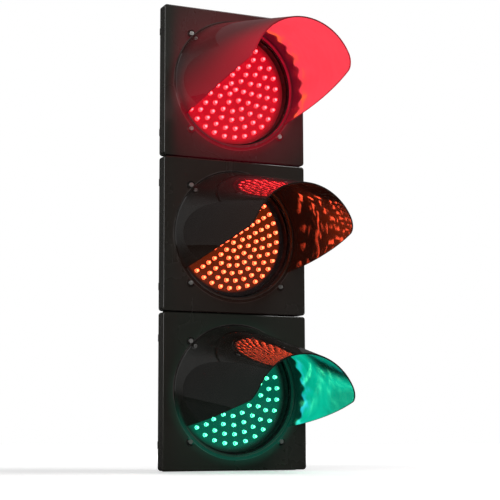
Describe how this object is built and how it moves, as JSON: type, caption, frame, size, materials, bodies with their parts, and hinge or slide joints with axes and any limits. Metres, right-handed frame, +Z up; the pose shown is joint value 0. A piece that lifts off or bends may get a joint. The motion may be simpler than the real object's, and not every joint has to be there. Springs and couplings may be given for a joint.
{
  "type": "traffic signal head",
  "caption": "Vertical traffic signal head with hinged door sections, tapered cut-away visors and lit LED modules in red, amber and green.",
  "frame": {"origin": "centre of the bottom wiring entry, on the outside of the bottom wall", "axes": "+Z up along the stack, -Y the way the signal shines, +X to the right as seen from the front"},
  "size_m": [0.262, 0.35, 0.7624],
  "materials": {
    "housing_plastic": "semi-gloss black polycarbonate, moulded",
    "door_plastic": "gloss black polycarbonate, moulded",
    "visor_plastic": "gloss black polycarbonate, polished inside",
    "shell_plastic": "matt black moulding",
    "rubber": "matt black EPDM",
    "steel": "stainless, turned",
    "clear_lens": "clear polycarbonate, gloss",
    "board_red": "solder mask lit red",
    "board_amber": "solder mask lit amber",
    "board_green": "solder mask lit green",
    "led_red": "lit LED lens",
    "led_amber": "lit LED lens",
    "led_green": "lit LED lens",
    "driver_board": "green solder mask, black and blue components",
    "lead_sheath": "matt black PVC sheath",
    "terminal_plastic": "off-white polyamide",
    "brass": "plated brass"
  },
  "bodies": {
    "housing_stack": {"housing_red": "housing_plastic", "door_gasket_red": "rubber", "hinge_pins_red": "steel", "module_lead_red": "lead_sheath", "housing_amber": "housing_plastic", "door_gasket_amber": "rubber", "hinge_pins_amber": "steel", "module_lead_amber": "lead_sheath", "housing_green": "housing_plastic", "door_gasket_green": "rubber", "hinge_pins_green": "steel", "module_lead_green": "lead_sheath", "coupling_bolts": "steel", "coupling_nuts": "steel", "coupling_washers": "steel", "coupling_seals": "rubber", "top_cover": "housing_plastic", "top_cover_seal": "rubber", "terminal_block": "terminal_plastic", "terminal_screws": "brass"},
    "door_red": {"door_red": "door_plastic", "visor_red": "visor_plastic", "visor_screws_red": "steel", "lens_red": "clear_lens", "lens_gasket_red": "rubber", "module_clips_red": "steel", "clip_screws_red": "steel", "led_board_red": "board_red", "leds_red": "led_red", "module_shell_red": "shell_plastic", "driver_board_red": "driver_board"},
    "door_screw_upper_red": {"door_screw_upper_red": "steel"},
    "door_screw_lower_red": {"door_screw_lower_red": "steel"},
    "door_amber": {"door_amber": "door_plastic", "visor_amber": "visor_plastic", "visor_screws_amber": "steel", "lens_amber": "clear_lens", "lens_gasket_amber": "rubber", "module_clips_amber": "steel", "clip_screws_amber": "steel", "led_board_amber": "board_amber", "leds_amber": "led_amber", "module_shell_amber": "shell_plastic", "driver_board_amber": "driver_board"},
    "door_screw_upper_amber": {"door_screw_upper_amber": "steel"},
    "door_screw_lower_amber": {"door_screw_lower_amber": "steel"},
    "door_green": {"door_green": "door_plastic", "visor_green": "visor_plastic", "visor_screws_green": "steel", "lens_green": "clear_lens", "lens_gasket_green": "rubber", "module_clips_green": "steel", "clip_screws_green": "steel", "led_board_green": "board_green", "leds_green": "led_green", "module_shell_green": "shell_plastic", "driver_board_green": "driver_board"},
    "door_screw_upper_green": {"door_screw_upper_green": "steel"},
    "door_screw_lower_green": {"door_screw_lower_green": "steel"}
  },
  "joints": [
    {"name": "door_hinge_red", "type": "hinge", "parent": "housing_stack", "child": "door_red", "pos_m": [-0.1184, -0.042, 0.625], "axis": [0, 0, -1], "range_deg": [0, 110]},
    {"name": "door_screw_draw_upper_red", "type": "slide", "parent": "door_red", "child": "door_screw_upper_red", "axis": [0, -1, 0], "range_m": [0, 0.008]},
    {"name": "door_screw_draw_lower_red", "type": "slide", "parent": "door_red", "child": "door_screw_lower_red", "axis": [0, -1, 0], "range_m": [0, 0.008]},
    {"name": "door_hinge_amber", "type": "hinge", "parent": "housing_stack", "child": "door_amber", "pos_m": [-0.1184, -0.042, 0.375], "axis": [0, 0, -1], "range_deg": [0, 110]},
    {"name": "door_screw_draw_upper_amber", "type": "slide", "parent": "door_amber", "child": "door_screw_upper_amber", "axis": [0, -1, 0], "range_m": [0, 0.008]},
    {"name": "door_screw_draw_lower_amber", "type": "slide", "parent": "door_amber", "child": "door_screw_lower_amber", "axis": [0, -1, 0], "range_m": [0, 0.008]},
    {"name": "door_hinge_green", "type": "hinge", "parent": "housing_stack", "child": "door_green", "pos_m": [-0.1184, -0.042, 0.125], "axis": [0, 0, -1], "range_deg": [0, 110]},
    {"name": "door_screw_draw_upper_green", "type": "slide", "parent": "door_green", "child": "door_screw_upper_green", "axis": [0, -1, 0], "range_m": [0, 0.008]},
    {"name": "door_screw_draw_lower_green", "type": "slide", "parent": "door_green", "child": "door_screw_lower_green", "axis": [0, -1, 0], "range_m": [0, 0.008]}
  ]
}
